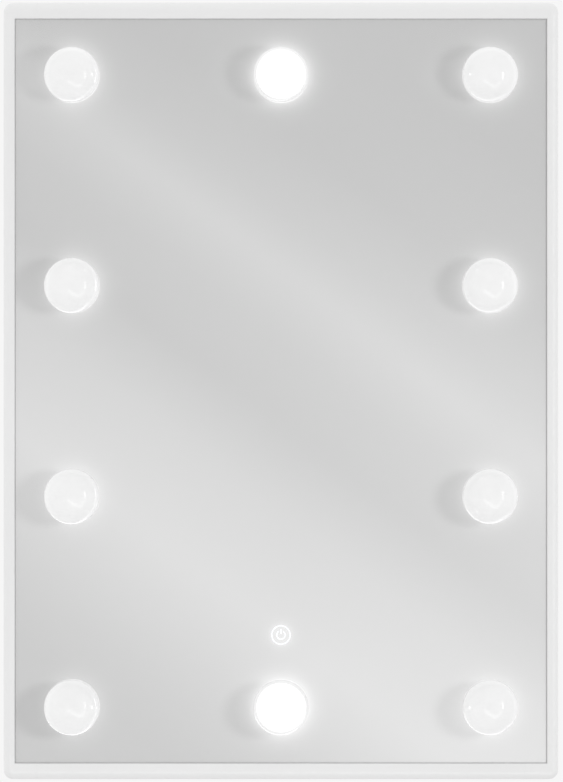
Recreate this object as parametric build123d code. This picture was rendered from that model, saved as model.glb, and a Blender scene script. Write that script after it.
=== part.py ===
from build123d import *
import math
import os

# Wall-hung vanity mirror, 500 x 700 mm, with ten screw-in LED globes and a touch switch.
#
# A silvered pane sits in a slim white frame of four aluminium rails and four moulded corners. A foam-taped
# backing board stiffens the pane, ten lampholders are clamped through both, and a rear panel with two keyhole
# hangers closes the case. A touch switch behind an etched icon and a dimmer box feed the lampholders, which
# are wired in a chain.
#
# Every piece is modelled as if the mirror lay face up on a bench: X is across, Y is up the mirror, and Z is
# the height above the wall side. STAND_UP then turns each piece upright, with +Z up, the wall at y = 0 and the
# mirror facing -Y. The origin is the centre of the rear panel's wall face. Sizes are in millimetres.


# Driving dimensions of the case
WIDTH = 500.0
HEIGHT = 700.0
DEPTH = 40.0  # wall side to the frame's front face
SIDE_LIP = 10.0  # visible width of the left and right rails
END_LIP = 14.3  # visible width of the top and bottom rails
WALL = 1.8
FRONT_RADIUS = 7.0  # rounding between a rail's side and its front
CORNER_RADIUS = 8.5  # outer corner of the frame, seen from the front
LIP_EDGE_RADIUS = 0.8
CORNER_LEG = 30.0  # length of a moulded corner along each side
SEAM = 0.03  # gap between a rail and a corner
REAR_EDGE = 0.3  # the frame stops this far short of the wall

# Layers of the case, each from one height to the next
REAR_PANEL = (0.0, 3.0)
REAR_FLANGE = (3.0, 4.6)
BOARD_RIB = (27.2, 28.8)
BOARD = (29.0, 32.0)
TAPE = (32.0, 33.0)
PANE = (33.0, 37.0)
SEAL = (37.0, DEPTH - WALL)
LIP = (DEPTH - WALL, DEPTH)
FLANGE_WIDTH = 12.0
RIB_WIDTH = 9.0

# Pane, board, seal and rear panel outlines, as insets from the frame's outside
PANE_INSET = 4.5
PANE_CORNER = 6.0
REAR_INSET = 2.3
SEAL_OUTER_INSET = 7.2
SEAL_SHOWS = 0.7  # how far the seal stands out past the lip

# Corner keys and their grub screws
KEY = (2.4, 4.9)  # a leg's two faces, from the frame's outside
KEY_HEIGHT = (10.0, 22.0)
KEY_LEG = 66.0
GRUB_PLACES = (38.0, 56.0)  # from the frame's outside corner
GRUB_RADIUS = 2.0
GRUB_LENGTH = KEY[1] + 0.6 - WALL
GRUB_SOCKET = 1.1

# Globes: two columns of four, and one at the middle of the top and bottom rows
BULB_COLUMN = 188.5
BULB_PITCH = 190.0
BULB_ROWS = [1.5 * BULB_PITCH, 0.5 * BULB_PITCH, -0.5 * BULB_PITCH, -1.5 * BULB_PITCH]
GLOBE_RADIUS = 25.0
GLOBE_WALL = 1.2
GLOBE_RIM_RADIUS = 19.4  # where the globe meets its housing
GLOBE_RIM = 52.0
THREAD_PITCH = 2.82  # E14 cap
THREAD_CREST = 6.95
THREAD_ROOT = 6.35
GLOBE_SEAT = 49.2
RIM_WALL = 1.2
NECK_RADIUS = 9.5
RING = (39.45, 41.05)
RING_RADIUS = 13.8
SHOULDER = 41.1
HOUSING_FOOT = 39.6
CONTACT_TIP = 15.95
CAP_FOOT = 18.9
CAP_END = 41.6
CAP_METAL = 0.4
LED_BOARD = (46.2, 47.8)
LED_BOARD_RADIUS = 15.9
LED_CHIPS = 8

# Lampholders
HOLDER_RADIUS = 11.8
HOLDER_HOLE = 12.3
HOLDER_FLANGE = (37.8, 39.4)
HOLDER_FLANGE_RADIUS = 15.0
HOLDER_FLOOR = 13.0
HOLDER_BORE = 8.3
HOLDER_BACK = 9.5
HOLDER_TAIL = (6.5, HOLDER_BACK)
HOLDER_TAIL_RADIUS = 9.0
NUT = (24.5, 29.0)

# Touch icon, etched in the pane's front
ICON_HEIGHT = -220.0  # its centre, from the middle of the mirror
ICON_RING = 8.9
ICON_STROKE = 1.2
ICON_SYMBOL = 4.4
ICON_DEPTH = 0.4

# Keyhole hangers
KEYHOLE_SPACING = 250.0
KEYHOLE_Y = 300.0
KEYHOLE_RADIUS = 5.0
KEYHOLE_SLOT = 5.2
KEYHOLE_RISE = 12.0
HANGER_PLATE = (3.0, 4.5)
RIVET = 1.6
RIVET_HEAD = 3.1
RIVET_HEAD_DEPTH = 1.5

# Rear panel screws
REAR_SCREW = 1.45
REAR_SCREW_HOLE = 1.5
REAR_HEAD = 3.0
REAR_HEAD_DEPTH = 1.6
REAR_SCREW_LENGTH = 8.0

# Electrics
DIMMER_X = 94.0
DIMMER_SIZE = (80.0, 50.0)
DIMMER = (11.0, 29.0)
CABLE_RADIUS = 1.2
CABLE_AT_HOLDER = 7.9
CABLE_ON_BOARD = 26.0
JACK_HEIGHT = 16.0
JACK_THREAD = 5.5
JACK_FLANGE = 7.2
JACK_MOUTH = 3.15
JACK_PIN = 1.0
JACK_SINK = 1.0  # its flange lies flush in a recess this deep
JACK_POCKET = 9.0  # room for its nut, cut in the rail's channel
SWITCH_SIDE = 46.0

STAND_UP = Rot(X=90)


# Small helpers

def span(layer):
    """Thickness of a layer."""
    return layer[1] - layer[0]


def slab(layer, width, height, corner=0.0):
    """A flat plate over a layer, centred, with rounded corners if asked."""
    outline = RectangleRounded(width, height, corner) if corner else Rectangle(width, height)
    return Pos(0, 0, layer[0]) * extrude(outline, span(layer))


def rod(x, y, low, high, radius):
    """A cylinder along Z between two heights."""
    return Pos(x, y, (low + high) / 2) * Cylinder(radius, high - low)


def block(x, y, z):
    """A box given by its (low, high) extent along each axis."""
    centre = [(low + high) / 2 for low, high in (x, y, z)]
    return Pos(*centre) * Box(x[1] - x[0], y[1] - y[0], z[1] - z[0])


def lathe(curve):
    """Turns a closed outline of (radius, 0, height) points about Z."""
    return revolve(make_face(curve), Axis.Z)


def outline(points):
    """A closed polygon of (radius, height) pairs, on the XZ plane."""
    return Polyline(*[(r, 0, z) for r, z in points], close=True)


def inset_slab(layer, inset, corner):
    """A plate that follows the frame's outside at an inset."""
    return slab(layer, WIDTH - 2 * inset, HEIGHT - 2 * inset, corner)


def bulb_places():
    """Number and centre of each globe: left column, right column, then the top and bottom middles."""
    left = [(-BULB_COLUMN, y) for y in BULB_ROWS]
    right = [(BULB_COLUMN, y) for y in BULB_ROWS]
    middle = [(0.0, BULB_ROWS[0]), (0.0, BULB_ROWS[-1])]
    return list(enumerate(left + right + middle, start=1))


def at_bulbs(shape):
    """One copy of a shape at every globe."""
    return Compound([Pos(x, y, 0) * shape for _, (x, y) in bulb_places()])


# Frame

def wall_and_lip(lip):
    """Outside edge of a rail's section, from its rear edge over the rounded front to the lip's inner edge."""
    shoulder = DEPTH - FRONT_RADIUS
    bend = FRONT_RADIUS * (1 - math.sqrt(0.5))
    return (
        Line((0, 0, REAR_EDGE), (0, 0, shoulder))
        + ThreePointArc((0, 0, shoulder), (bend, 0, DEPTH - bend), (FRONT_RADIUS, 0, DEPTH))
        + Line((FRONT_RADIUS, 0, DEPTH), (lip, 0, DEPTH))
        + Line((lip, 0, DEPTH), (lip, 0, LIP[0]))
    )


def inner_bend():
    """Inside of the rounded front, from the lip's back to the wall."""
    inside = FRONT_RADIUS - WALL
    bend = WALL + inside * (1 - math.sqrt(0.5))
    low = DEPTH - FRONT_RADIUS
    return ThreePointArc((FRONT_RADIUS, 0, LIP[0]), (bend, 0, DEPTH - bend), (WALL, 0, low))


def rail_section(lip):
    """Section of an aluminium rail: wall, lip, board rib, channel for the corner key, and rear flange."""
    channel = (9.8, 22.2)
    hook = 1.2
    hook_reach = 1.6
    inside = [
        (WALL, DEPTH - FRONT_RADIUS),
        (WALL, BOARD_RIB[1]), (RIB_WIDTH, BOARD_RIB[1]),
        (RIB_WIDTH, BOARD_RIB[0]), (WALL, BOARD_RIB[0]),
        (WALL, channel[1] + hook), (KEY[1] + hook, channel[1] + hook),
        (KEY[1] + hook, channel[1] - hook_reach), (KEY[1], channel[1] - hook_reach),
        (KEY[1], channel[1]), (WALL, channel[1]),
        (WALL, channel[0]), (KEY[1], channel[0]),
        (KEY[1], channel[0] + hook_reach), (KEY[1] + hook, channel[0] + hook_reach),
        (KEY[1] + hook, channel[0] - hook), (WALL, channel[0] - hook),
        (WALL, REAR_FLANGE[1]), (FLANGE_WIDTH, REAR_FLANGE[1]), (FLANGE_WIDTH, REAR_FLANGE[0]),
        (WALL, REAR_FLANGE[0]), (WALL, REAR_EDGE), (0, REAR_EDGE),
    ]
    back_of_lip = Line((lip, 0, LIP[0]), (FRONT_RADIUS, 0, LIP[0]))
    ribs = Polyline(*[(u, 0, z) for u, z in inside])
    return make_face(wall_and_lip(lip) + back_of_lip + inner_bend() + ribs)


def corner_section(lip):
    """Section of a moulded corner: wall, lip and rear flange."""
    inside = [
        (WALL, DEPTH - FRONT_RADIUS),
        (WALL, REAR_FLANGE[1]), (lip, REAR_FLANGE[1]), (lip, REAR_FLANGE[0]),
        (WALL, REAR_FLANGE[0]), (WALL, REAR_EDGE), (0, REAR_EDGE),
    ]
    back_of_lip = Line((lip, 0, LIP[0]), (FRONT_RADIUS, 0, LIP[0]))
    walls = Polyline(*[(u, 0, z) for u, z in inside])
    return make_face(wall_and_lip(lip) + back_of_lip + inner_bend() + walls)


def rail(lip, length):
    """A rail along Y with its outside on x = 0 and its lip towards +X."""
    bar = extrude(rail_section(lip), amount=length / 2, both=True)
    edge = [e for e in bar.edges().filter_by(Axis.Y) if on(e, x=lip, z=DEPTH)]
    return fillet(edge, LIP_EDGE_RADIUS)


def on(edge, **place):
    """True if an edge's middle has these coordinates."""
    middle = edge.position_at(0.5)
    near = {"x": middle.X, "y": middle.Y, "z": middle.Z}
    return all(abs(near[axis] - value) < 1e-3 for axis, value in place.items())


def frame_rails():
    """The four rails, with screw holes in their flanges and a hole for the power inlet."""
    side_length = HEIGHT - 2 * (CORNER_LEG + SEAM)
    end_length = WIDTH - 2 * (CORNER_LEG + SEAM)
    side, end = rail(SIDE_LIP, side_length), rail(END_LIP, end_length)
    rails = {
        "left": Pos(-WIDTH / 2, 0, 0) * side,
        "right": Pos(WIDTH / 2, 0, 0) * Rot(Z=180) * side,
        "top": Pos(0, HEIGHT / 2, 0) * Rot(Z=-90) * end,
        "bottom": Pos(0, -HEIGHT / 2, 0) * Rot(Z=90) * end,
    }
    holes = rear_screw_holes(REAR_SCREW_HOLE)
    hole = Rot(X=90) * Cylinder(JACK_THREAD + 0.1, 2 * WALL + 2)
    sink = Rot(X=90) * Cylinder(JACK_FLANGE + 0.1, 2 * JACK_SINK)
    pocket = Pos(0, (WALL + FLANGE_WIDTH) / 2, 0) * Rot(X=90) * Cylinder(JACK_POCKET, FLANGE_WIDTH - WALL)
    rails["bottom"] -= Pos(DIMMER_X, -HEIGHT / 2, JACK_HEIGHT) * (hole + sink + pocket)
    return {f"frame_rail_{name}": bar - holes for name, bar in rails.items()}


def moulded_corner():
    """The top left corner: outside corner at the origin, +X along the top and -Y down the side."""
    turn = CORNER_RADIUS
    side = Pos(0, -turn, 0) * extrude(corner_section(SIDE_LIP), CORNER_LEG - turn, dir=(0, -1, 0))
    across = Rot(Z=-90) * extrude(corner_section(END_LIP), CORNER_LEG - turn, dir=(0, 1, 0))
    top = Pos(turn, 0, 0) * across
    bend = revolve(Pos(0, -turn, 0) * corner_section(turn), Axis((turn, -turn, 0), (0, 0, -1)), 90)
    corner = side + top + bend
    edges = [e for e in corner.edges() if on(e, x=SIDE_LIP, z=DEPTH) or on(e, y=-END_LIP, z=DEPTH)]
    return fillet(edges, LIP_EDGE_RADIUS)


def frame_corners():
    """The four moulded corners: the top left one and its reflections."""
    corner = moulded_corner()
    top_left = Pos(-WIDTH / 2, HEIGHT / 2, 0) * corner
    bottom_left = mirror(top_left, Plane.XZ)
    return {
        "frame_corner_top_left": top_left,
        "frame_corner_top_right": mirror(top_left, Plane.YZ),
        "frame_corner_bottom_left": bottom_left,
        "frame_corner_bottom_right": mirror(bottom_left, Plane.YZ),
    }


# Corner keys: steel angles that slide in the rails' channels, jammed by grub screws


def four_corners(shape):
    """A shape at the top left, copied to all four corners by reflection."""
    left = [shape, mirror(shape, Plane.XZ)]
    return Compound(left + [mirror(s, Plane.YZ) for s in left])


def at_grub_places(shape):
    """Copies of a shape, lying along its Z, at the top left key's four grub screws."""
    middle = (KEY_HEIGHT[0] + KEY_HEIGHT[1]) / 2
    in_side = Pos(WALL + GRUB_LENGTH / 2, 0, middle) * Rot(Y=90) * shape
    in_top = Pos(0, -WALL - GRUB_LENGTH / 2, middle) * Rot(X=90) * shape
    copies = [Pos(0, -along, 0) * in_side for along in GRUB_PLACES]
    copies += [Pos(along, 0, 0) * in_top for along in GRUB_PLACES]
    return [Pos(-WIDTH / 2, HEIGHT / 2, 0) * copy for copy in copies]


def corner_keys():
    """Four steel angles with threaded holes for their grub screws."""
    outer, inner = KEY
    legs = [
        (outer, -outer), (KEY_LEG, -outer), (KEY_LEG, -inner),
        (inner, -inner), (inner, -KEY_LEG), (outer, -KEY_LEG),
    ]
    plan = make_face(Polyline(*legs, close=True))
    key = Pos(0, 0, KEY_HEIGHT[0]) * extrude(plan, span(KEY_HEIGHT))
    outside = [e for e in key.edges().filter_by(Axis.Z) if on(e, x=KEY[0], y=-KEY[0])]
    key = fillet(outside, CORNER_RADIUS - KEY[0])
    inside = [e for e in key.edges().filter_by(Axis.Z) if on(e, x=KEY[1], y=-KEY[1])]
    key = fillet(inside, CORNER_RADIUS - KEY[1])
    key = Pos(-WIDTH / 2, HEIGHT / 2, 0) * key
    for hole in at_grub_places(Cylinder(GRUB_RADIUS, GRUB_LENGTH)):
        key -= hole
    return four_corners(key)


def corner_key_screws():
    """Grub screws with hexagon sockets, jammed against the rails' walls."""
    socket = Pos(0, 0, GRUB_LENGTH / 2 - GRUB_SOCKET) * extrude(RegularPolygon(GRUB_SOCKET, 6), GRUB_SOCKET)
    screw = Cylinder(GRUB_RADIUS, GRUB_LENGTH) - socket
    return four_corners(Compound(at_grub_places(screw)))


# Pane, etched icon, seal, tape and backing board

def icon_strokes():
    """The touch icon: a ring round a power symbol, as flat shapes centred on the origin."""
    ring = Circle(ICON_RING) - Circle(ICON_RING - ICON_STROKE)
    gap = Pos(0, ICON_SYMBOL) * Rectangle(3.4 * ICON_STROKE, 2 * ICON_SYMBOL - 2)
    arc = (Circle(ICON_SYMBOL) - Circle(ICON_SYMBOL - ICON_STROKE)) - gap
    tick = Pos(0, ICON_SYMBOL * 0.72) * RectangleRounded(ICON_STROKE, ICON_SYMBOL * 1.1, ICON_STROKE * 0.45)
    return [ring, arc, tick]


def touch_icon():
    """The icon's strokes as thin solids, flush with the pane's front."""
    base = Pos(0, ICON_HEIGHT, PANE[1] - ICON_DEPTH)
    return Compound([base * extrude(stroke, ICON_DEPTH) for stroke in icon_strokes()])


def holder_holes(layer):
    """Clearance holes for the ten lampholders through a layer."""
    return at_bulbs(rod(0, 0, layer[0] - 1, layer[1] + 1, HOLDER_HOLE))


def mirror_pane():
    pane = inset_slab(PANE, PANE_INSET, PANE_CORNER) - holder_holes(PANE)
    return pane - touch_icon()


def glazing_seal():
    """Grey rubber strip between the pane and the frame's lip."""
    outer = inset_slab(SEAL, SEAL_OUTER_INSET, CORNER_RADIUS - SEAL_OUTER_INSET)
    inner_width = WIDTH - 2 * (SIDE_LIP + SEAL_SHOWS)
    inner_height = HEIGHT - 2 * (END_LIP + SEAL_SHOWS)
    return outer - slab((SEAL[0] - 1, SEAL[1] + 1), inner_width, inner_height)


def backing_board():
    """Foamed PVC board with holes for the lampholders and a window for the touch switch."""
    board = inset_slab(BOARD, PANE_INSET, PANE_CORNER) - holder_holes(BOARD)
    side = SWITCH_SIDE + 6
    window = Pos(0, ICON_HEIGHT, 0) * slab((BOARD[0] - 1, BOARD[1] + 1), side, side, 3)
    return board - window


def foam_tape():
    """Double-sided foam strips that join the board to the pane."""
    width = 12.0
    reach_x = WIDTH / 2 - 18
    reach_y = HEIGHT / 2 - 18
    upright = slab(TAPE, width, 2 * reach_y)
    level = slab(TAPE, 2 * reach_x - 2 * width - 8, width)
    strips = [Pos(side * reach_x, 0, 0) * upright for side in (-1, 1)]
    strips += [Pos(0, y, 0) * level for y in (reach_y, BULB_PITCH, 0, -0.8 * BULB_PITCH, -reach_y)]
    return Compound(strips)


# Rear panel, its screws and the keyhole hangers


def rear_screw_places():
    """Screws down both sides and across the top and bottom, in the rails' flanges."""
    in_flange = 7.2
    sides = [(s * (WIDTH / 2 - in_flange), y) for s in (-1, 1) for y in (-255, -85, 85, 255)]
    ends = [(x, s * (HEIGHT / 2 - in_flange)) for s in (-1, 1) for x in (-170, 0, 170)]
    return sides + ends


def rear_screw_holes(radius):
    return Compound([rod(x, y, -1, REAR_FLANGE[1] + 1, radius) for x, y in rear_screw_places()])


def countersunk(head, shank, head_depth, length):
    """A flush-headed fastener from z = 0 upwards."""
    return lathe(outline([(0, 0), (head, 0), (shank, head_depth), (shank, length), (0, length)]))


def rear_panel_screws():
    """Countersunk screws with cross slots, flush with the panel."""
    slot = Box(3.6, 0.8, 1.4) + Box(0.8, 3.6, 1.4)
    screw = countersunk(REAR_HEAD, REAR_SCREW, REAR_HEAD_DEPTH, REAR_SCREW_LENGTH) - slot
    return Compound([Pos(x, y, 0) * screw for x, y in rear_screw_places()])


def keyhole(layer):
    """One keyhole through a layer: a round entry with a slot above it."""
    entry = Circle(KEYHOLE_RADIUS)
    slot = Pos(0, KEYHOLE_RISE / 2) * Rectangle(KEYHOLE_SLOT, KEYHOLE_RISE)
    top = Pos(0, KEYHOLE_RISE) * Circle(KEYHOLE_SLOT / 2)
    return Pos(0, KEYHOLE_Y, layer[0] - 1) * extrude(entry + slot + top, span(layer) + 2)


def at_hangers(shape):
    return Compound([Pos(s * KEYHOLE_SPACING / 2, 0, 0) * shape for s in (-1, 1)])


def rivet_places():
    """The rivets of one hanger plate, from its centre line."""
    middle = KEYHOLE_Y + KEYHOLE_RISE / 2
    return [(x, middle + y) for x in (-11, 11) for y in (-22, 22)]


def hanger_rivets():
    """Countersunk rivets with set tails, four to a hanger plate."""
    seat = HANGER_PLATE[1]
    rivet = lathe(outline([
        (0, 0), (RIVET_HEAD, 0), (RIVET, RIVET_HEAD_DEPTH), (RIVET, seat),
        (2.6, seat), (2.1, seat + 0.9), (0, seat + 1.2),
    ]))
    return at_hangers(Compound([Pos(x, y, 0) * rivet for x, y in rivet_places()]))


def hanger_plates():
    """Steel plates that carry the wall screws, behind the rear panel's keyholes."""
    middle = KEYHOLE_Y + KEYHOLE_RISE / 2
    plate = Pos(0, middle, 0) * slab(HANGER_PLATE, 32, 56, 4)
    holes = Compound([rod(x, y, 2, 6, RIVET) for x, y in rivet_places()])
    return at_hangers(plate - keyhole(HANGER_PLATE) - holes)


def rear_panel():
    """White composite panel, screwed to the rails' flanges."""
    panel = inset_slab(REAR_PANEL, REAR_INSET, CORNER_RADIUS - REAR_INSET)
    sink = countersunk(REAR_HEAD, REAR_SCREW_HOLE + 0.1, REAR_HEAD_DEPTH, REAR_PANEL[1] + 1)
    rivet_sink = countersunk(RIVET_HEAD, RIVET, RIVET_HEAD_DEPTH, REAR_PANEL[1] + 1)
    for x, y in rear_screw_places():
        panel -= Pos(x, y, 0) * sink
    for x, y in rivet_places():
        panel -= at_hangers(Pos(x, y, 0) * rivet_sink)
    return panel - at_hangers(keyhole(REAR_PANEL))


# Lampholders: threaded barrels through the pane and board, clamped by a nut


def lampholder_bodies():
    """White moulded barrels with a front flange, a floor and a rear terminal boss."""
    flange_edge = 0.7
    barrel = lathe(outline([
        (0, HOLDER_TAIL[0]), (HOLDER_TAIL_RADIUS, HOLDER_TAIL[0]), (HOLDER_TAIL_RADIUS, HOLDER_BACK),
        (HOLDER_RADIUS, HOLDER_BACK), (HOLDER_RADIUS, HOLDER_FLANGE[0]),
        (HOLDER_FLANGE_RADIUS, HOLDER_FLANGE[0]),
        (HOLDER_FLANGE_RADIUS, HOLDER_FLANGE[1] - flange_edge),
        (HOLDER_FLANGE_RADIUS - flange_edge, HOLDER_FLANGE[1]), (HOLDER_BORE, HOLDER_FLANGE[1]),
        (HOLDER_BORE, HOLDER_FLOOR), (0, HOLDER_FLOOR),
    ]))
    return at_bulbs(barrel - rod(0, 0, 5, 14, 1.2))


def wave(start, half_turns, middle, swing, pitch):
    """A rolled thread in section: arcs that swing out and in about a radius, half a pitch each."""
    step = pitch / 2
    points = [(middle, start + i * step) for i in range(half_turns + 1)]
    arcs = []
    for i in range(half_turns):
        (r, low), (_, high) = points[i], points[i + 1]
        peak = r + swing * (1 if i % 2 == 0 else -1)
        arcs.append(ThreePointArc((r, 0, low), (peak, 0, (low + high) / 2), (r, 0, high)))
    return arcs, high


def threaded_sleeve(middle, swing, metal, start, half_turns, end):
    """A thin rolled sleeve: a wave inside, the same wave outside, and a plain stretch to the end."""
    inner, top = wave(start, half_turns, middle, swing, THREAD_PITCH)
    outer, _ = wave(start, half_turns, middle + metal, swing, THREAD_PITCH)
    curve = Curve() + inner + outer
    curve += Line((middle, 0, start), (middle + metal, 0, start))
    curve += Polyline((middle, 0, top), (middle, 0, end), (middle + metal, 0, end), (middle + metal, 0, top))
    return lathe(curve)


def lampholder_shells():
    """Brass threaded sleeves inside the barrels."""
    return at_bulbs(threaded_sleeve(7.45, 0.3, 0.4, 14.0, 13, 36.5))


def lampholder_contacts():
    """Centre contact: a folded bronze strip with a tail through the barrel's floor."""
    side = [
        (-5, 0), (4, 0), (4, 0.4), (1.6, 2.9), (-1.6, 2.9),
        (-1.6, 2.5), (1.3, 2.5), (3.2, 0.4), (-5, 0.4),
    ]
    strip = extrude(make_face(outline(side)), amount=2, both=True)
    tail = rod(0, 0, HOLDER_TAIL[0] + 0.5, HOLDER_FLOOR, 1.1)
    return at_bulbs(Pos(0, 0, HOLDER_FLOOR) * strip + tail)


def lampholder_nuts():
    """Hexagon ring nuts behind the backing board."""
    nut = Pos(0, 0, NUT[0]) * extrude(RegularPolygon(17, 6), span(NUT))
    return at_bulbs(nut - rod(0, 0, NUT[0] - 1, NUT[1] + 1, HOLDER_RADIUS + 0.1))


def lampholder_washers():
    """Silicone washers between the flanges and the glass."""
    washer = (PANE[1], HOLDER_FLANGE[0])
    disc = rod(0, 0, *washer, HOLDER_FLANGE_RADIUS - 0.4)
    return at_bulbs(disc - rod(0, 0, washer[0] - 1, washer[1] + 1, HOLDER_HOLE))


# Bulbs: a silicone neck ring, a base and a frosted globe each


def neck_ring():
    """A loose ring with a rounded outer edge, on the bulb's neck."""
    middle = (RING[0] + RING[1]) / 2
    half = span(RING) / 2
    inner, outer = NECK_RADIUS + 0.1, RING_RADIUS - half
    return lathe(
        Polyline((outer, 0, RING[0]), (inner, 0, RING[0]), (inner, 0, RING[1]), (outer, 0, RING[1]))
        + ThreePointArc((outer, 0, RING[1]), (RING_RADIUS, 0, middle), (outer, 0, RING[0]))
    )


def globe():
    """Frosted sphere with a skirt that drops into the housing's rim."""
    centre = GLOBE_RIM + math.sqrt(GLOBE_RADIUS**2 - GLOBE_RIM_RADIUS**2)
    inside = GLOBE_RADIUS - GLOBE_WALL
    skirt_out = GLOBE_RIM_RADIUS - RIM_WALL - 0.1
    skirt_in = skirt_out - GLOBE_WALL
    foot = GLOBE_SEAT + 0.1
    meets = centre - math.sqrt(inside**2 - skirt_in**2)
    return lathe(
        ThreePointArc(
            (0, 0, centre + GLOBE_RADIUS), (GLOBE_RADIUS, 0, centre), (GLOBE_RIM_RADIUS, 0, GLOBE_RIM)
        )
        + Polyline(
            (GLOBE_RIM_RADIUS, 0, GLOBE_RIM), (skirt_out, 0, GLOBE_RIM), (skirt_out, 0, foot),
            (skirt_in, 0, foot), (skirt_in, 0, meets),
        )
        + ThreePointArc((skirt_in, 0, meets), (inside, 0, centre), (0, 0, centre + inside))
        + Line((0, 0, centre + inside), (0, 0, centre + GLOBE_RADIUS))
    )


def bulb_housing():
    """White collar from the cap's neck out to the globe's rim, hollow, with a ledge for the LED board."""
    flare = ThreePointArc((14.0, 0, SHOULDER), (17.7, 0, 45.6), (GLOBE_RIM_RADIUS, 0, GLOBE_RIM))
    rim_in = GLOBE_RIM_RADIUS - RIM_WALL
    board_in = LED_BOARD_RADIUS + 0.3
    neck_in = NECK_RADIUS - 2.0
    inside = [
        (GLOBE_RIM_RADIUS, GLOBE_RIM), (rim_in, GLOBE_RIM), (rim_in, GLOBE_SEAT), (board_in, GLOBE_SEAT),
        (board_in, LED_BOARD[0]), (12.5, LED_BOARD[0]), (11.5, 43.0), (neck_in, 43.0),
        (neck_in, HOUSING_FOOT), (NECK_RADIUS, HOUSING_FOOT), (NECK_RADIUS, SHOULDER), (14.0, SHOULDER),
    ]
    return lathe(flare + Polyline(*[(r, 0, z) for r, z in inside]))


def bulb_cap():
    """Screw cap: rolled shell, dark insulator and domed centre contact."""
    middle = (THREAD_CREST + THREAD_ROOT) / 2 - CAP_METAL
    swing = (THREAD_CREST - THREAD_ROOT) / 2
    shell = threaded_sleeve(middle, swing, CAP_METAL, CAP_FOOT, 12, CAP_END)
    plug = middle - swing - 0.1
    insulator = lathe(outline([(0, 17.5), (2.8, 17.5), (plug, CAP_FOOT), (plug, 20.5), (0, 20.5)]))
    contact = lathe(
        ThreePointArc((0, 0, CONTACT_TIP), (1.6, 0, 16.5), (2.4, 0, 17.5))
        + Polyline((2.4, 0, 17.5), (0, 0, 17.5), (0, 0, CONTACT_TIP))
    )
    return [shell, insulator, contact]


def led_module():
    """Aluminium LED board with a ring of chips."""
    board = rod(0, 0, *LED_BOARD, LED_BOARD_RADIUS)
    chip = block((9.0, 12.0), (-1.5, 1.5), (LED_BOARD[1], LED_BOARD[1] + 0.7))
    return [board] + [Rot(Z=360 * i / LED_CHIPS) * chip for i in range(LED_CHIPS)]


def bulbs():
    """Three nodes for each bulb: its neck ring, its base and its globe."""
    base = Compound([bulb_housing(), *bulb_cap(), *led_module()])
    pieces = {"bulb_ring": neck_ring(), "bulb_base": base, "bulb_globe": globe()}
    return {
        f"{name}_{number:02d}": Pos(x, y, 0) * shape
        for number, (x, y) in bulb_places()
        for name, shape in pieces.items()
    }


# Touch switch, behind the icon

def touch_switch_case():
    """White box stuck to the glass, with a round light well in its front and a lid behind."""
    centre = Pos(0, ICON_HEIGHT, 0)
    case = (21.0, PANE[0])
    shell = slab(case, SWITCH_SIDE, SWITCH_SIDE, 3)
    shell -= slab((case[0] - 1, 29.0), SWITCH_SIDE - 3, SWITCH_SIDE - 3, 2)
    shell -= rod(0, 0, 28, PANE[0] + 1, 14)
    lid = slab((case[0] - 1.5, case[0]), SWITCH_SIDE, SWITCH_SIDE, 3)
    return centre * Compound([shell, lid])


def touch_switch_board():
    """Sensor board with a ring of small LEDs and a touch spring that reaches the glass."""
    board = slab((25.0, 26.6), 40, 40, 1)
    lamp = Pos(11, 0, 27.0) * Box(1.6, 3.0, 0.8)
    lamps = [Rot(Z=60 * i) * lamp for i in range(6)]
    turns = 4
    rise = (PANE[0] - 26.6) / turns
    spring = [Pos(0, 0, 26.6 + rise * (i + 0.5)) * Torus(3.5, 0.4) for i in range(turns)]
    chip = block((-3, 3), (-17, -13), (23.6, 25.0))
    return Pos(0, ICON_HEIGHT, 0) * Compound([board, chip, *lamps, *spring])


# Dimmer box, power inlet and wiring


def dimmer_case():
    """Box on the backing board for the dimmer, with a lid on its wall side."""
    place = Pos(DIMMER_X, BULB_ROWS[-1], 0)
    width, height = DIMMER_SIZE
    box = slab((DIMMER[0] + 1.6, DIMMER[1]), width, height, 2)
    box -= slab((DIMMER[0], DIMMER[1] - 1.6), width - 4, height - 4, 1)
    lid = slab((DIMMER[0], DIMMER[0] + 1.6), width, height, 2)
    return place * Compound([box, lid])


def dimmer_board():
    """Circuit board with its choke, capacitors, transistor and terminals."""
    top = (24.0, 25.6)
    board = slab(top, 70, 40)
    capacitors = [rod(x, 10, 15.5, top[0], 4) for x in (-22, -10)]
    choke = Pos(12, 8, 20.0) * (Cylinder(7.5, 8) - Cylinder(3, 8))
    transistor = block((-6, 4), (-14, -9.5), (15, top[0]))
    terminals = [block((x - 5, x + 5), (-16, -8), (16, top[0])) for x in (-27, 24)]
    parts = Compound([board, *capacitors, choke, transistor, *terminals])
    return Pos(DIMMER_X, BULB_ROWS[-1], 0) * parts


def dc_jack():
    """Barrel power inlet, flush with the bottom rail: flanged bush, centre pin, and a nut inside the rail."""
    mouth, thread, flange = JACK_MOUTH, JACK_THREAD, JACK_FLANGE
    length, floor = 15.0, 10.0
    bush = lathe(outline([
        (mouth, 0), (flange, 0), (flange, JACK_SINK), (thread, JACK_SINK),
        (thread, length), (0, length), (0, floor), (mouth, floor),
    ]))
    pin = rod(0, 0, 1.0, floor, JACK_PIN)
    nut = Pos(0, 0, WALL) * (extrude(RegularPolygon(8, 6), 2.4) - Cylinder(thread, 10))
    upright = Pos(DIMMER_X, -HEIGHT / 2, JACK_HEIGHT) * Rot(X=-90)
    return upright * Compound([bush, pin, nut])


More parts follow.
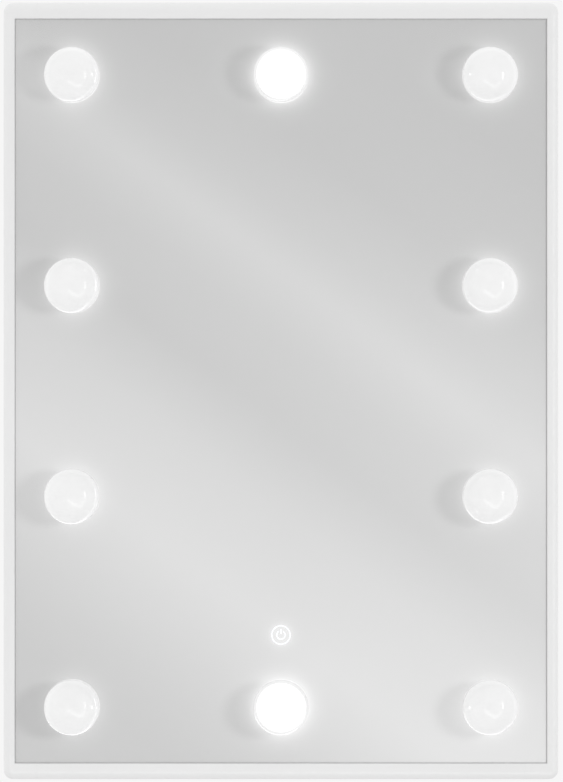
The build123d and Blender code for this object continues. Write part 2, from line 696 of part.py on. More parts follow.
def cable(points):
    """A round cable along straight runs joined by tangent arcs."""
    vectors = [Vector(*p) for p in points]
    radii = []
    for before, here, after in zip(vectors, vectors[1:], vectors[2:]):
        turn = math.radians((here - before).get_angle(after - here))
        shorter = min((here - before).length, (after - here).length)
        radii.append(0.45 * shorter / math.tan(turn / 2))
    path = FilletPolyline(*vectors, radius=radii) if radii else Line(*vectors)
    return sweep(Plane(path @ 0, z_dir=path % 0) * Circle(CABLE_RADIUS), path)


def chain_run(start, end):
    """A cable from one lampholder's boss to the next, down to the board between them."""
    (x, y), (u, v) = start, end
    length = math.hypot(u - x, v - y)
    along = ((u - x) / length, (v - y) / length)
    stations = [
        (HOLDER_TAIL_RADIUS, CABLE_AT_HOLDER), (22, CABLE_AT_HOLDER), (36, CABLE_ON_BOARD - 5),
        (54, CABLE_ON_BOARD), (length - 54, CABLE_ON_BOARD), (length - 36, CABLE_ON_BOARD - 5),
        (length - 22, CABLE_AT_HOLDER), (length - HOLDER_TAIL_RADIUS, CABLE_AT_HOLDER),
    ]
    return cable([(x + s * along[0], y + s * along[1], z) for s, z in stations])


def chain_clip(start, end):
    """An adhesive saddle that holds a run to the board at its middle."""
    (x, y), (u, v) = start, end
    turned = 90 if abs(u - x) < abs(v - y) else 0
    clip = block((-5, 5), (-6, 6), (CABLE_ON_BOARD - CABLE_RADIUS - 1.2, BOARD[0]))
    clip -= Pos(0, 0, CABLE_ON_BOARD) * Rot(Y=90) * Cylinder(CABLE_RADIUS, 12)
    return Pos((x + u) / 2, (y + v) / 2, 0) * Rot(Z=turned) * clip


def wiring_harness():
    """Cables from holder to holder, from the dimmer to its neighbours, and the clips on the long runs."""
    place = dict(bulb_places())
    chain = [(9, 1), (1, 2), (2, 3), (3, 4), (4, 10), (8, 7), (7, 6), (6, 5)]
    runs = [chain_run(place[a], place[b]) for a, b in chain]
    clips = [chain_clip(place[a], place[b]) for a, b in chain]
    row = BULB_ROWS[-1]
    half = DIMMER_SIZE[0] / 2
    level = 20.0
    left, right = DIMMER_X - half, DIMMER_X + half
    near = HOLDER_TAIL_RADIUS
    to_left = cable([
        (near, row, CABLE_AT_HOLDER), (22, row, CABLE_AT_HOLDER), (38, row, level), (left, row, level),
    ])
    to_right = cable([
        (right, row, level), (right + 14, row, level),
        (BULB_COLUMN - 24, row, CABLE_AT_HOLDER), (BULB_COLUMN - near, row, CABLE_AT_HOLDER),
    ])
    top = row + DIMMER_SIZE[1] / 2
    to_switch = cable([
        (DIMMER_X - 26, top, 24), (DIMMER_X - 26, top + 15, 24),
        (DIMMER_X - 44, ICON_HEIGHT, 24), (SWITCH_SIDE / 2, ICON_HEIGHT, 24),
    ])
    below = row - DIMMER_SIZE[1] / 2
    to_jack = cable([(DIMMER_X, -HEIGHT / 2 + 15, JACK_HEIGHT), (DIMMER_X, below, JACK_HEIGHT)])
    return Compound([*runs, to_left, to_right, to_switch, to_jack, *clips])


def main():
    os.makedirs("parts", exist_ok=True)
    nodes = {
        "mirror_pane": mirror_pane(),
        "touch_icon": touch_icon(),
        "glazing_seal": glazing_seal(),
        **frame_rails(),
        **frame_corners(),
        "corner_keys": corner_keys(),
        "corner_key_screws": corner_key_screws(),
        "backing_board": backing_board(),
        "foam_tape": foam_tape(),
        "rear_panel": rear_panel(),
        "rear_panel_screws": rear_panel_screws(),
        "hanger_plates": hanger_plates(),
        "hanger_rivets": hanger_rivets(),
        "lampholder_bodies": lampholder_bodies(),
        "lampholder_shells": lampholder_shells(),
        "lampholder_contacts": lampholder_contacts(),
        "lampholder_nuts": lampholder_nuts(),
        "lampholder_washers": lampholder_washers(),
        "touch_switch_case": touch_switch_case(),
        "touch_switch_board": touch_switch_board(),
        "dimmer_case": dimmer_case(),
        "dimmer_board": dimmer_board(),
        "dc_jack": dc_jack(),
        "wiring_harness": wiring_harness(),
        **bulbs(),
    }
    for name, shape in nodes.items():
        export_step(STAND_UP * shape, f"parts/{name}.step")
    print(len(nodes), "nodes")


main()
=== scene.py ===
import math

import bpy
from mathutils import Matrix, Vector


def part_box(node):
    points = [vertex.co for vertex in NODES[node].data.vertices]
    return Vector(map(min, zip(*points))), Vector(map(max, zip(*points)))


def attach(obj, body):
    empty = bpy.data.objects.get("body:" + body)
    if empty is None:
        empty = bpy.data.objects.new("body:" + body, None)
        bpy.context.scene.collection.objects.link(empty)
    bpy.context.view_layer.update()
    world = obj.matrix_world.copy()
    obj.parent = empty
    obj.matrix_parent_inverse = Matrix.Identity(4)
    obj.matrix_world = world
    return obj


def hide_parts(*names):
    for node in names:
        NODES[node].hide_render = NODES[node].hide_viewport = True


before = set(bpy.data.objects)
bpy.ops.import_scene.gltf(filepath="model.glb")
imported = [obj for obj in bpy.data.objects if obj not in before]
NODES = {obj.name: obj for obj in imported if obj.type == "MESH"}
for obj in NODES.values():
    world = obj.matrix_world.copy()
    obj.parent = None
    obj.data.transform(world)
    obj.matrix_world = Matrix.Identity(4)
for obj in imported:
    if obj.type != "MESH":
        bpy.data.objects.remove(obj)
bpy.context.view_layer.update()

# Places read from the frame, in metres. The mirror faces -Y.
PANE_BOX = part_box("mirror_pane")
PANE_FRONT = PANE_BOX[0].y
BULBS = sorted(name[-2:] for name in NODES if name.startswith("bulb_globe_"))
LIT_BULBS = BULBS[-2:]
GLOBE_BOXES = {bulb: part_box(f"bulb_globe_{bulb}") for bulb in BULBS}
GLOBE_CENTRES = {bulb: (low + high) / 2 for bulb, (low, high) in GLOBE_BOXES.items()}
GLOBE_RADIUS = (GLOBE_BOXES[BULBS[0]][1].x - GLOBE_BOXES[BULBS[0]][0].x) / 2
GLOBE_HEIGHT = GLOBE_BOXES[BULBS[0]][0].y + GLOBE_RADIUS
COLUMN = abs(GLOBE_CENTRES[BULBS[0]].x)
TOP_ROW = GLOBE_CENTRES[BULBS[0]].z
ROW_PITCH = TOP_ROW - GLOBE_CENTRES[BULBS[1]].z
ICON_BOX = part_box("touch_icon")
ICON_CENTRE = (ICON_BOX[0] + ICON_BOX[1]) / 2
ICON_RADIUS = (ICON_BOX[1].x - ICON_BOX[0].x) / 2

# The globe's outline, in metres
RIM_RADIUS = 0.0194
SKIRT_RADIUS = 0.0178
GLASS_WALL = 0.0012

# Camera: far off, so that the mirror is seen square on
CAMERA_DISTANCE = 20.0
VIEW_HEIGHT = 0.7051
SENSOR = 36.0

# The studio's white, in linear light: behind the mirror, in front of it, and in front as reflections see it
WORLD_BEHIND = 0.925
WORLD_FRONT = 0.97
WORLD_REFLECTED = 0.66

# The mirror: the share of light that its haze scatters, the light that the haze sends out, and its silver
HAZE = 0.25
HAZE_LIGHT = 0.2755
MIRROR_TINT = 0.90

# The card with the room's soft diagonal bands, which the mirror reflects: its distance from the pane, then
# (height where a band crosses the middle, its tone out of 255), and how steeply the bands fall to the right
CARD_DISTANCE = 3.0
BANDS = [
    (0.50, 197), (0.24, 198), (0.16, 206), (0.11, 215), (0.045, 208), (-0.03, 206),
    (-0.11, 218), (-0.22, 225), (-0.34, 212), (-0.40, 207),
]
BAND_SLOPE = 0.75
BAND_REACH = 0.5  # highest and lowest height that the bands' ramp covers
BRIGHTENS = 0.245  # along a band, in linear light per metre to the right
LEFT_SIDE = 0.05  # added on the left, most of it low down

# Glow on the globes: in front, on the rim, and where the rim ends, as a share of the radius
# On the dim globes the glow is painted light that evens out their shading, with a painted brighter rim
DIM_PAINTED_GLOW = (0.12, 0.19, 0.34)
LIT_GLOW = (3.2, 0.2, 0.46)

# The key light, to the right of the mirror and far off
KEY_PLACE = Vector((2.76, -4.14, 0.12))
KEY_SIZE = 1.0
KEY_POWER = 108.0

# The floor, and the order of a card's corners
FLOOR_SIZE = 12.0
FLOOR_DROP = 1.5
CARD_CORNERS = ((-1, -1), (1, -1), (1, 1), (-1, 1))


def linear(level):
    """Linear light of a display level from 0 to 255."""
    return ((level / 255 + 0.055) / 1.055) ** 2.4


# Node graphs

class Graph:
    """A node tree with short calls for the nodes that the materials share."""

    def __init__(self, tree):
        self.tree = tree
        self.tree.nodes.clear()

    def add(self, kind, **settings):
        node = self.tree.nodes.new(kind)
        for key, value in settings.items():
            setattr(node, key, value)
        return node

    def feed(self, socket, value):
        """Sets an input to a plain value or links it to an output."""
        if isinstance(value, bpy.types.NodeSocket):
            self.tree.links.new(value, socket)
        else:
            socket.default_value = value

    def math(self, operation, *values):
        node = self.add("ShaderNodeMath", operation=operation)
        for socket, value in zip(node.inputs, values):
            self.feed(socket, value)
        return node.outputs[0]

    def noise(self, place, scale, detail=3.0, roughness=0.5, stretch=(1, 1, 1)):
        """Noise from 0 to 1, stretched along an axis if asked."""
        mapping = self.add("ShaderNodeMapping")
        self.feed(mapping.inputs["Vector"], place)
        mapping.inputs["Scale"].default_value = stretch
        node = self.add("ShaderNodeTexNoise")
        self.feed(node.inputs["Vector"], mapping.outputs[0])
        node.inputs["Scale"].default_value = scale
        node.inputs["Detail"].default_value = detail
        node.inputs["Roughness"].default_value = roughness
        return node.outputs["Fac"]

    def cells(self, place, scale):
        """Distance to the nearest cell centre, for pebbled textures."""
        node = self.add("ShaderNodeTexVoronoi")
        self.feed(node.inputs["Vector"], place)
        node.inputs["Scale"].default_value = scale
        return node.outputs["Distance"]

    def span(self, value, low, high, out_low=0.0, out_high=1.0):
        """Maps a value from one span to another, clamped."""
        node = self.add("ShaderNodeMapRange")
        for socket, number in zip(node.inputs, (value, low, high, out_low, out_high)):
            self.feed(socket, number)
        return node.outputs[0]

    def mix(self, factor, first, second):
        """Blends two colours."""
        node = self.add("ShaderNodeMix", data_type="RGBA")
        self.feed(node.inputs["Factor"], factor)
        self.feed(node.inputs["A"], rgba(first))
        self.feed(node.inputs["B"], rgba(second))
        return node.outputs["Result"]

    def bump(self, height, strength, distance):
        node = self.add("ShaderNodeBump")
        node.inputs["Strength"].default_value = strength
        node.inputs["Distance"].default_value = distance
        self.feed(node.inputs["Height"], height)
        return node.outputs["Normal"]


def rgba(colour):
    """A colour socket's value: an output as it is, or numbers with alpha added."""
    if isinstance(colour, bpy.types.NodeSocket):
        return colour
    return (*colour, 1.0)


class Finish(Graph):
    """A material with one Principled shader, in object coordinates."""

    def __init__(self, name):
        self.material = bpy.data.materials.new(name)
        self.material.use_nodes = True
        super().__init__(self.material.node_tree)
        self.shader = self.add("ShaderNodeBsdfPrincipled")
        output = self.add("ShaderNodeOutputMaterial")
        self.feed(output.inputs["Surface"], self.shader.outputs[0])
        self.place = self.add("ShaderNodeTexCoord").outputs["Object"]

    def set(self, **values):
        """Sets Principled inputs: Base_Color=..., Roughness=... and so on."""
        for key, value in values.items():
            self.feed(self.shader.inputs[key.replace("_", " ")], value)


def grey(value):
    return (value, value, value)


# Materials

def moulded(name, colour, shade, gloss=(0.30, 0.42), peel=0.00004, grain=700, coat=0.0):
    """Moulded or coated surface: faint colour drift, uneven gloss and a fine orange peel."""
    f = Finish(name)
    drift = f.noise(f.place, 9, 4)
    f.set(
        Base_Color=f.mix(f.span(drift, 0.3, 0.7), colour, shade),
        Roughness=f.span(f.noise(f.place, 60, 4), 0.3, 0.7, *gloss),
        Normal=f.bump(f.noise(f.place, grain, 2), 0.35, peel),
        Coat_Weight=coat,
        Coat_Roughness=0.08,
    )
    return f.material


def metal(name, colour, dull, gloss=(0.22, 0.42), brushed=(1, 1, 1)):
    """Bare or plated metal with tarnish in patches and fine scratches."""
    f = Finish(name)
    patches = f.noise(f.place, 45, 5, 0.6)
    scratches = f.noise(f.place, 500, 3, 0.6, brushed)
    f.set(
        Base_Color=f.mix(f.span(patches, 0.35, 0.7), colour, dull),
        Metallic=1.0,
        Roughness=f.span(scratches, 0.3, 0.7, *gloss),
        Normal=f.bump(scratches, 0.25, 0.00003),
    )
    return f.material


def pebbled(name, colour, shade, scale=900, depth=0.00008, gloss=(0.50, 0.62)):
    """Sheet with a fine pebbled emboss, for the rear panel."""
    f = Finish(name)
    cells = f.cells(f.place, scale)
    f.set(
        Base_Color=f.mix(f.span(f.noise(f.place, 6, 5), 0.3, 0.7), colour, shade),
        Roughness=f.span(f.noise(f.place, 30, 4), 0.3, 0.7, *gloss),
        Normal=f.bump(cells, 0.5, depth),
    )
    return f.material


def rubber(name, colour, shade, gloss=(0.55, 0.75)):
    f = Finish(name)
    f.set(
        Base_Color=f.mix(f.span(f.noise(f.place, 120, 4), 0.3, 0.7), colour, shade),
        Roughness=f.span(f.noise(f.place, 250, 3), 0.3, 0.7, *gloss),
        Normal=f.bump(f.noise(f.place, 1500, 2), 0.3, 0.00004),
    )
    return f.material


def silicone(name):
    """Milky, slightly soft-looking silicone."""
    f = Finish(name)
    f.set(
        Base_Color=f.mix(f.noise(f.place, 200, 3), (0.86, 0.87, 0.88), (0.80, 0.81, 0.83)),
        Roughness=f.span(f.noise(f.place, 300, 3), 0.3, 0.7, 0.35, 0.5),
        Subsurface_Weight=0.3,
        Subsurface_Radius=(0.001, 0.001, 0.001),
        Normal=f.bump(f.noise(f.place, 1200, 2), 0.2, 0.00003),
    )
    return f.material


def circuit_board(name):
    """Green solder mask with copper tracks showing through as paler lines."""
    f = Finish(name)
    tracks = f.cells(f.place, 260)
    f.set(
        Base_Color=f.mix(f.span(tracks, 0.35, 0.5), (0.02, 0.16, 0.07), (0.05, 0.26, 0.12)),
        Roughness=f.span(f.noise(f.place, 90, 3), 0.3, 0.7, 0.28, 0.4),
        Normal=f.bump(tracks, 0.3, 0.00003),
    )
    return f.material


def falloff(f, across, up, radius, halving):
    """Glow round a point: full within a radius, and halving over each such distance outside it."""
    gap = f.add("ShaderNodeCombineXYZ")
    f.feed(gap.inputs["X"], across)
    f.feed(gap.inputs["Z"], up)
    length = f.add("ShaderNodeVectorMath", operation="LENGTH")
    f.feed(length.inputs[0], gap.outputs[0])
    beyond = f.math("MAXIMUM", f.math("SUBTRACT", length.outputs["Value"], radius), 0.0)
    return f.math("POWER", 0.5, f.math("DIVIDE", beyond, halving))


def above_row(f, z):
    """Height above the nearest row of globes."""
    return f.math("WRAP", f.math("SUBTRACT", z, ROW_PITCH / 2), ROW_PITCH / 2, -ROW_PITCH / 2)


def silvered_glass():
    """Mirror glass with a thin haze that takes the globes' shadows, with painted glows round the globes and
    the touch icon and painted fill light in the top globes' shadows.
    """
    f = Finish("silvered_glass")
    place = f.add("ShaderNodeSeparateXYZ")
    f.feed(place.inputs[0], f.place)
    x, z = place.outputs["X"], place.outputs["Z"]
    aside = f.math("SUBTRACT", f.math("ABSOLUTE", x), COLUMN)
    # Painted glow round each dim globe, fainter outside the left column and low down
    side_glow = falloff(f, aside, above_row(f, z), GLOBE_RADIUS, 0.0052)
    side_glow = f.math("MULTIPLY", side_glow, f.span(x, -COLUMN - 0.035, -COLUMN, 0.35, 1.0))
    side_glow = f.math("MULTIPLY", side_glow, f.span(z, -0.1, 0.1, 0.72, 1.08))
    # Painted glow round the lit globes: close by, and wide
    above = f.math("SUBTRACT", f.math("ABSOLUTE", z), TOP_ROW)
    lit_glow = falloff(f, x, above, GLOBE_RADIUS, 0.0042)
    lit_glow = f.math("MULTIPLY", lit_glow, f.span(z, -0.1, 0.1, 0.85, 1.0))
    wide_glow = falloff(f, x, above, GLOBE_RADIUS, 0.014)
    # Painted glow round the touch icon
    icon_glow = falloff(f, x, f.math("SUBTRACT", z, ICON_CENTRE.z), ICON_RADIUS, 0.0022)
    # Painted fill light to the left of the top globes, which lightens their shadows
    left_of = f.math("ADD", f.math("WRAP", x, COLUMN / 2, -COLUMN / 2), 0.040)
    painted_fill = f.math("MULTIPLY", falloff(f, left_of, above, 0.012, 0.006), f.span(z, 0.08, 0.28))
    # The painted glows and painted fill light, summed and sent out by the pane as emission
    glow = 0.0
    shares = ((side_glow, 0.15), (lit_glow, 0.25), (wide_glow, 0.025), (icon_glow, 0.10), (painted_fill, 0.03))
    for part, share in shares:
        glow = f.math("ADD", glow, f.math("MULTIPLY", part, share))
    smears = f.noise(f.place, 7, 5, 0.55, (1, 1, 0.5))
    f.set(
        Base_Color=f.mix(f.noise(f.place, 4, 3), grey(MIRROR_TINT), grey(MIRROR_TINT - 0.012)),
        Metallic=1 - HAZE,
        Roughness=f.span(smears, 0.35, 0.7, 0.018, 0.05),
        Emission_Color=f.mix(glow, grey(0.0), grey(1.0)),
        Emission_Strength=1.0,
    )
    return f.material


def opal_globe(name, glow, rim_glow, rim):
    """Frosted globe under a clear gloss, glowing: glow in front, and rim_glow on its rim, which ends
    where the glass stands out by rim times its radius. The lit globes are lit from inside; on the dim ones
    the glow is painted light that evens out their shading, with a painted brighter rim."""
    f = Finish(name)
    mottle = f.noise(f.place, 55, 5, 0.6)
    place = f.add("ShaderNodeSeparateXYZ")
    f.feed(place.inputs[0], f.place)
    rise = f.math("SUBTRACT", GLOBE_HEIGHT, place.outputs["Y"])
    edge = (rim * GLOBE_RADIUS, (rim + 0.25) * GLOBE_RADIUS)
    front = f.span(rise, *edge, rim_glow, glow)
    # Painted light: the globe's lower front a little lighter and its upper front a little darker
    painted_lighter_below = f.span(above_row(f, place.outputs["Z"]), GLOBE_RADIUS, -GLOBE_RADIUS, -0.03, 0.03)
    painted_lighter_below = f.math("MULTIPLY", painted_lighter_below, f.span(rise, *edge))
    f.set(
        Base_Color=f.mix(f.span(mottle, 0.3, 0.7), grey(0.86), grey(0.83)),
        Roughness=f.span(f.noise(f.place, 90, 3), 0.3, 0.7, 0.40, 0.5),
        Coat_Weight=1.0,
        Coat_Roughness=0.12,
        Coat_IOR=1.5,
        Specular_IOR_Level=0.0,
        Emission_Color=f.mix(f.span(mottle, 0.3, 0.7), grey(1.0), grey(0.985)),
        Emission_Strength=f.math("ADD", front, painted_lighter_below),
        Normal=f.bump(f.noise(f.place, 400, 2), 0.15, 0.00002),
    )
    return f.material


def lit_icon():
    """Etched strokes lit from behind, with a frosted grain."""
    f = Finish("lit_icon")
    grain = f.noise(f.place, 1800, 2)
    f.set(
        Base_Color=f.mix(grain, (0.92, 0.94, 0.97), (0.85, 0.88, 0.92)),
        Roughness=f.span(grain, 0.3, 0.7, 0.45, 0.6),
        Emission_Color=f.mix(grain, grey(0.26), grey(0.20)),
        Emission_Strength=1.0,
        Normal=f.bump(grain, 0.3, 0.00004),
    )
    return f.material


def led_chip():
    f = Finish("led_chip")
    f.set(
        Base_Color=f.mix(f.noise(f.place, 900, 2), (0.95, 0.80, 0.35), (0.88, 0.70, 0.25)),
        Roughness=f.span(f.noise(f.place, 900, 2), 0.3, 0.7, 0.3, 0.45),
        Normal=f.bump(f.noise(f.place, 2500, 2), 0.2, 0.00003),
    )
    return f.material


def wear(*materials):
    """Puts materials into an object's slots."""
    def dress(node):
        slots = NODES[node].data.materials
        slots.clear()
        for material in materials:
            slots.append(material)
        return NODES[node]
    return dress


def radius_and_height(polygon, centre):
    """A face's distance from a bulb's axis, and its height off the wall."""
    place = polygon.center
    return math.hypot(place.x - centre.x, place.z - centre.z), -place.y


def dress_case():
    """Materials for the nodes that don't move."""
    frame_coat = moulded("white_powder_coat", grey(0.885), grey(0.873), (0.34, 0.46), coat=0.35)
    corner = moulded("white_corner_moulding", grey(0.885), grey(0.873), (0.32, 0.42), coat=0.35)
    holder = moulded("white_pbt", grey(0.86), (0.83, 0.83, 0.82), (0.3, 0.4), coat=0.2)
    zinc = metal("zinc_plate", (0.66, 0.67, 0.69), (0.52, 0.53, 0.56))
    brass = metal("rolled_brass", (0.80, 0.60, 0.28), (0.62, 0.43, 0.18))
    board = circuit_board("circuit_board")
    finishes = {
        "mirror_pane": silvered_glass(),
        "touch_icon": lit_icon(),
        "glazing_seal": rubber("glazing_seal_rubber", grey(0.46), grey(0.41)),
        "corner_keys": zinc,
        "corner_key_screws": zinc,
        "backing_board": pebbled("foamed_pvc", (0.88, 0.88, 0.87), (0.84, 0.84, 0.83), 500, 0.00005),
        "foam_tape": rubber("foam_tape", (0.86, 0.86, 0.83), (0.78, 0.78, 0.75)),
        "rear_panel": pebbled("rear_sheet", grey(0.80), grey(0.77)),
        "rear_panel_screws": zinc,
        "hanger_plates": metal("hanger_steel", (0.62, 0.63, 0.65), (0.47, 0.48, 0.50), brushed=(1, 1, 0.1)),
        "hanger_rivets": metal("rivet_aluminium", (0.78, 0.79, 0.80), (0.66, 0.67, 0.68)),
        "lampholder_bodies": holder,
        "lampholder_shells": brass,
        "lampholder_contacts": brass,
        "lampholder_nuts": holder,
        "lampholder_washers": silicone("washer_silicone"),
        "touch_switch_case": holder,
        "touch_switch_board": board,
        "dimmer_case": holder,
        "dimmer_board": board,
        "dc_jack": moulded("inlet_black", grey(0.03), grey(0.045), (0.35, 0.5)),
        "wiring_harness": rubber("cable_sheath", grey(0.84), grey(0.78)),
    }
    for side in ("left", "right", "top", "bottom"):
        finishes[f"frame_rail_{side}"] = frame_coat
    for place in ("top_left", "top_right", "bottom_left", "bottom_right"):
        finishes[f"frame_corner_{place}"] = corner
    for node, material in finishes.items():
        wear(material)(node)


def dress_bulbs():
    """Materials for the bulbs. A base's solids are told apart by their distance from its axis and height."""
    collar = moulded("bulb_collar", grey(0.87), grey(0.85), (0.22, 0.32), coat=0.5)
    nickel = metal("cap_nickel", (0.74, 0.73, 0.70), (0.60, 0.58, 0.55), (0.18, 0.35))
    glass_black = moulded("cap_insulator", grey(0.02), grey(0.035), (0.2, 0.3))
    aluminium = metal("led_board_aluminium", (0.85, 0.85, 0.86), (0.78, 0.78, 0.80))
    chip = led_chip()
    ring = silicone("neck_ring_silicone")
    dim, lit = opal_globe("opal_globe", *DIM_PAINTED_GLOW), opal_globe("opal_globe_lit", *LIT_GLOW)
    for bulb in BULBS:
        base = wear(collar, nickel, glass_black, aluminium, chip)(f"bulb_base_{bulb}")
        low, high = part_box(f"bulb_base_{bulb}")
        centre = (low + high) / 2
        tip = -high.y  # the contact's, which points at the wall
        for polygon in base.data.polygons:
            radius, height = radius_and_height(polygon, centre)
            polygon.material_index = base_finish(radius, height - tip)
        build_globe(bulb, lit if bulb in LIT_BULBS else dim)
        wear(ring)(f"bulb_ring_{bulb}")


def arc(radius, start, end, steps):
    """Points (radius, rise above the centre) on a circle, at angles from the tip in degrees."""
    angles = [math.radians(start + (end - start) * i / steps) for i in range(steps + 1)]
    return [(radius * math.sin(angle), radius * math.cos(angle)) for angle in angles]


def build_globe(bulb, material):
    """Smooth frosted globe with its skirt, lathed in place of the CAD one."""
    centre = Vector((GLOBE_CENTRES[bulb].x, GLOBE_HEIGHT, GLOBE_CENTRES[bulb].z))
    foot = centre.y - GLOBE_BOXES[bulb][1].y
    inside = GLOBE_RADIUS - GLASS_WALL
    skirt_in = SKIRT_RADIUS - GLASS_WALL
    rim = 180 - math.degrees(math.asin(RIM_RADIUS / GLOBE_RADIUS))
    meets = 180 - math.degrees(math.asin(skirt_in / inside))
    outer = arc(GLOBE_RADIUS, 0, rim, 44)
    outline = outer + [(SKIRT_RADIUS, outer[-1][1]), (SKIRT_RADIUS, foot), (skirt_in, foot)]
    outline += arc(inside, meets, 0, 24)
    globe = lathe(f"globe_{bulb}", outline, centre)
    globe.data.materials.append(material)
    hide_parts(f"bulb_globe_{bulb}")
    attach(globe, f"bulb_{bulb}")


def lathe(name, outline, centre, around=96):
    """Solid turned about an axis that points out of the mirror, from (radius, rise) points, tip to tip."""
    spots = [Vector((centre.x, centre.y - outline[0][1], centre.z))]
    turns = [2 * math.pi * i / around for i in range(around)]
    for radius, rise in outline[1:-1]:
        for turn in turns:
            spots.append(centre + Vector((radius * math.cos(turn), -rise, radius * math.sin(turn))))
    spots.append(Vector((centre.x, centre.y - outline[-1][1], centre.z)))
    faces = []
    for i in range(around):
        j = (i + 1) % around
        faces.append((0, 1 + j, 1 + i))
        for ring in range(len(outline) - 3):
            here, below = 1 + ring * around, 1 + (ring + 1) * around
            faces.append((here + i, here + j, below + j, below + i))
        last = 1 + (len(outline) - 3) * around
        faces.append((last + i, last + j, len(spots) - 1))
    mesh = bpy.data.meshes.new(name)
    mesh.from_pydata(spots, [], faces)
    mesh.shade_smooth()
    mesh.set_sharp_from_angle(angle=math.radians(35))
    piece = bpy.data.objects.new(name, mesh)
    bpy.context.scene.collection.objects.link(piece)
    return piece


def base_finish(radius, rise):
    """Slot of a bulb base's face, from its radius and its rise above the contact's tip: collar, cap,
    insulator, LED board or chip."""
    if rise < 0.0015:
        return 1
    if rise < 0.0046 and radius < 0.0058:
        return 2
    if rise < 0.0258 and radius < 0.0072:
        return 1
    if 0.0300 < rise < 0.0319 and radius < 0.0160:
        return 3
    if 0.0319 <= rise < 0.0328 and radius < 0.0128:
        return 4
    return 0


# Studio

def link_light(source, lit):
    """Lets a light or glowing card light only these pieces."""
    group = bpy.data.collections.new(f"{source.name}_lights")
    for piece in lit:
        group.objects.link(piece)
    source.light_linking.receiver_collection = group


def emitter(name, size, place, target, colour_of, level=1.0, clear=False):
    """A glowing card that faces a target and shows only in reflections. A clear one lets the room through."""
    width, height = size
    mesh = bpy.data.meshes.new(name)
    corners = [(x * width / 2, y * height / 2, 0) for x, y in CARD_CORNERS]
    mesh.from_pydata(corners, [], [(0, 1, 2, 3)])
    card = bpy.data.objects.new(name, mesh)
    bpy.context.scene.collection.objects.link(card)
    card.location = place
    card.rotation_mode = "QUATERNION"
    card.rotation_quaternion = (Vector(target) - Vector(place)).to_track_quat("Z", "Y")
    material = bpy.data.materials.new(name)
    material.use_nodes = True
    g = Graph(material.node_tree)
    glow = g.add("ShaderNodeEmission")
    g.feed(glow.inputs["Color"], colour_of(g))
    glow.inputs["Strength"].default_value = level
    shine = glow.outputs[0]
    if clear:
        both = g.add("ShaderNodeAddShader")
        g.feed(both.inputs[0], shine)
        g.feed(both.inputs[1], g.add("ShaderNodeBsdfTransparent").outputs[0])
        shine = both.outputs[0]
    output = g.add("ShaderNodeOutputMaterial")
    g.feed(output.inputs["Surface"], shine)
    mesh.materials.append(material)
    card.visible_camera = False
    card.visible_shadow = False
    card.visible_diffuse = False
    return card


def banded(g):
    """The card that the mirror reflects: soft diagonal bands of light, as seen in the mirror's own metres."""
    grown = 1 + CARD_DISTANCE / CAMERA_DISTANCE
    place = g.add("ShaderNodeSeparateXYZ")
    g.feed(place.inputs[0], g.add("ShaderNodeTexCoord").outputs["Object"])
    x = g.math("DIVIDE", place.outputs["X"], -grown)
    z = g.math("DIVIDE", place.outputs["Y"], grown)
    along = g.math("ADD", z, g.math("MULTIPLY", x, BAND_SLOPE))
    ramp = g.add("ShaderNodeValToRGB")
    ramp.color_ramp.interpolation = "LINEAR"
    stops = sorted((0.5 + t / (2 * BAND_REACH), linear(level)) for t, level in BANDS)
    stop_list = ramp.color_ramp.elements
    stop_list[0].position, stop_list[1].position = stops[0][0], stops[-1][0]
    for position, _ in stops[1:-1]:
        stop_list.new(position)
    for element, (_, light) in zip(stop_list, stops):
        element.color = (light, light, light, 1.0)
    g.feed(ramp.inputs[0], g.span(along, -BAND_REACH, BAND_REACH))
    low_part = g.span(along, 0.37, 0.18)
    rise = g.math("MULTIPLY", g.math("MULTIPLY", x, BRIGHTENS), low_part)
    left_side = g.math("MULTIPLY", g.span(x, 0.0, -0.24, 0.0, LEFT_SIDE), g.span(z, 0.02, -0.10, 0.5, 1.0))
    seen = g.math("ADD", g.math("ADD", ramp.outputs["Color"], rise), left_side)
    return g.math("DIVIDE", g.math("SUBTRACT", seen, HAZE_LIGHT), (1 - HAZE) * MIRROR_TINT)


def even(g):
    """A strip's near-even white."""
    soft = g.noise(g.add("ShaderNodeTexCoord").outputs["Object"], 1.5, 2)
    return g.mix(soft, grey(1.0), grey(0.96))


def build_cards():
    """The banded card that the mirror shows, and strips that show as highlights on the globes."""
    emitter("banded_card", (1.4, 1.7), (0, PANE_FRONT - CARD_DISTANCE, 0), (0, 0, 0), banded)
    emitter("strip_right", (0.30, 1.2), (2.05, -1.43, 0.1), (0, 0, 0), even, 5.2)
    left = Vector((-0.64, -1.66, -0.51))
    corner = Vector((0.82, -1.05, -1.29))
    right = Vector((1.32, -1.15, -0.60))
    low_strip("strip_low", left, corner, 0.36)
    low_strip("strip_rising", corner, right, 0.28)
    for bulb in LIT_BULBS:
        for side in (-1, 1):
            build_side_glow(bulb, side)


def build_side_glow(bulb, side):
    """The lit globe's side as the dim globes reflect it: brighter than the glass that shows in front."""
    z = GLOBE_CENTRES[bulb].z
    place = (side * (GLOBE_RADIUS + 0.0006), GLOBE_HEIGHT, z)
    beyond = (side * 1.0, GLOBE_HEIGHT, z)
    name = f"side_glow_{bulb}_{'left' if side < 0 else 'right'}"
    card = emitter(name, (0.020, 0.022), place, beyond, even, 6.0, clear=True)
    link_light(card, [bpy.data.objects[f"globe_{dim}"] for dim in BULBS if dim not in LIT_BULBS])


def low_strip(name, start, end, width):
    """A strip laid from one place to another, below the camera's line."""
    middle = (start + end) / 2
    strip = emitter(name, (width, (end - start).length), middle, (0, 0, 0), even, 2.3)
    strip.rotation_quaternion = strip_turn(end - start, -middle)


def strip_turn(along, towards):
    """Rotation that lays a card's Y along a direction and faces it as nearly as it can to another."""
    y = along.normalized()
    x = y.cross(towards).normalized()
    return Matrix((x, y, x.cross(y))).transposed().to_quaternion()


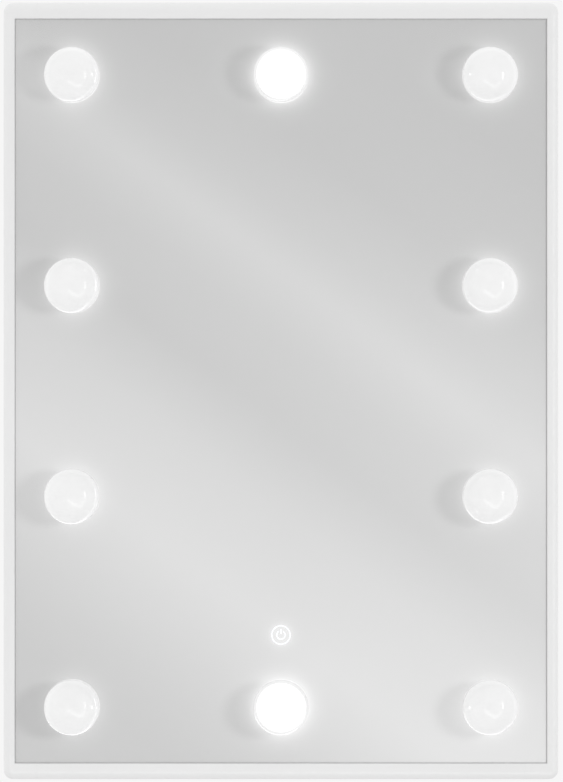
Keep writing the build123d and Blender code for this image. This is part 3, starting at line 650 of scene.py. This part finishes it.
def build_key():
    """The key light, which throws the globes' soft shadows on the mirror and leaves the rest alone."""
    light = bpy.data.lights.new("key", "AREA")
    light.shape, light.size = "DISK", KEY_SIZE
    light.energy = KEY_POWER
    key = bpy.data.objects.new("key", light)
    bpy.context.scene.collection.objects.link(key)
    key.location = KEY_PLACE
    key.rotation_mode = "QUATERNION"
    key.rotation_quaternion = (-KEY_PLACE).to_track_quat("-Z", "Y")
    key.visible_glossy = False
    key.visible_camera = False
    link_light(key, [NODES["mirror_pane"]])


def build_world():
    """White studio. Reflections see it greyer in front of the mirror than it shines."""
    world = bpy.data.worlds.new("studio")
    bpy.context.scene.world = world
    world.use_nodes = True
    g = Graph(world.node_tree)
    direction = g.add("ShaderNodeSeparateXYZ")
    g.feed(direction.inputs[0], g.add("ShaderNodeTexCoord").outputs["Generated"])
    behind = g.span(direction.outputs["Y"], -0.6, 0.0)
    reflected = g.add("ShaderNodeLightPath").outputs["Is Glossy Ray"]
    front = g.mix(reflected, grey(WORLD_FRONT), grey(WORLD_REFLECTED))
    background = g.add("ShaderNodeBackground")
    g.feed(background.inputs["Color"], g.mix(behind, front, grey(WORLD_BEHIND)))
    output = g.add("ShaderNodeOutputWorld")
    g.feed(output.inputs["Surface"], background.outputs[0])


def build_floor():
    """Pale floor well below the mirror, which hangs on a wall. It fades into the studio's white further off,
    and sends up more light than it shows."""
    mesh = bpy.data.meshes.new("floor")
    corners = [(x * FLOOR_SIZE, y * FLOOR_SIZE, -FLOOR_DROP) for x, y in CARD_CORNERS]
    mesh.from_pydata(corners, [], [(0, 1, 2, 3)])
    floor = bpy.data.objects.new("floor", mesh)
    bpy.context.scene.collection.objects.link(floor)
    f = Finish("floor")
    distance = f.add("ShaderNodeVectorMath", operation="LENGTH")
    f.feed(distance.inputs[0], f.place)
    shown = f.mix(f.span(distance.outputs["Value"], 1.8, 6.5), grey(0.66), grey(0.95))
    sent = f.mix(f.noise(f.place, 1.5, 3), grey(0.94), grey(0.92))
    f.set(
        Base_Color=f.mix(f.add("ShaderNodeLightPath").outputs["Is Diffuse Ray"], shown, sent),
        Roughness=0.8,
        Specular_IOR_Level=0.2,
    )
    mesh.materials.append(f.material)


def build_camera():
    """Long lens, square on, framed on the mirror's front."""
    data = bpy.data.cameras.new("camera")
    camera = bpy.data.objects.new("camera", data)
    bpy.context.scene.collection.objects.link(camera)
    camera.location = (0.0005, PANE_FRONT - CAMERA_DISTANCE, 0.0)
    camera.rotation_euler = (math.radians(90), 0, 0)
    data.sensor_width = SENSOR
    data.lens = SENSOR * CAMERA_DISTANCE / VIEW_HEIGHT
    bpy.context.scene.camera = camera


dress_case()
dress_bulbs()
build_world()
build_cards()
build_key()
build_floor()
build_camera()
bpy.context.scene.view_settings.view_transform = "Standard"
